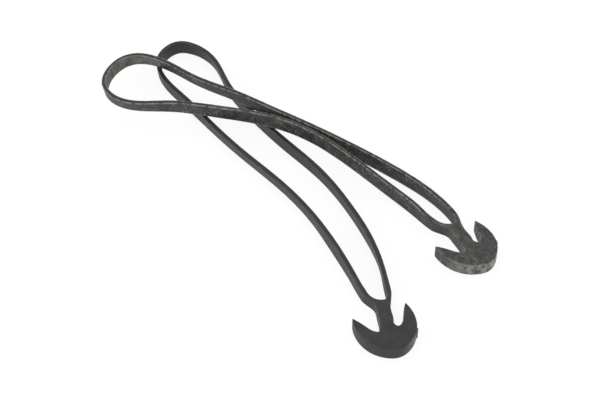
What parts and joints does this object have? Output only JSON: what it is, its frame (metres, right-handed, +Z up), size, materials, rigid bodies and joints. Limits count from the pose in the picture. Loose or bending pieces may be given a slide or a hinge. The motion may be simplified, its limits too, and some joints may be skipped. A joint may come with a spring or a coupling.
{
  "type": "moulded rubber tie strap pair",
  "caption": "Two identical moulded rubber tie straps lying crossed, each a long closed loop of thin band on edge that joins a neck and a flat anchor-shaped head.",
  "frame": {"origin": "centre of the pair's footprint, on the surface it lies on", "axes": "+Z up from that surface, +X along the line midway between the two straps, towards the heads"},
  "size_m": [0.3316, 0.128, 0.0199],
  "materials": {
    "lower_rubber": "satin moulded",
    "upper_rubber": "satin moulded, scuffed, light bloom"
  },
  "bodies": {
    "lower": {"lower_strap": "lower_rubber"},
    "upper": {"upper_strap": "upper_rubber"}
  },
  "joints": [
    {"name": "upper_lift", "type": "slide", "parent": "lower", "child": "upper", "axis": [0, 0, 1], "range_m": [0, 0.06]}
  ]
}
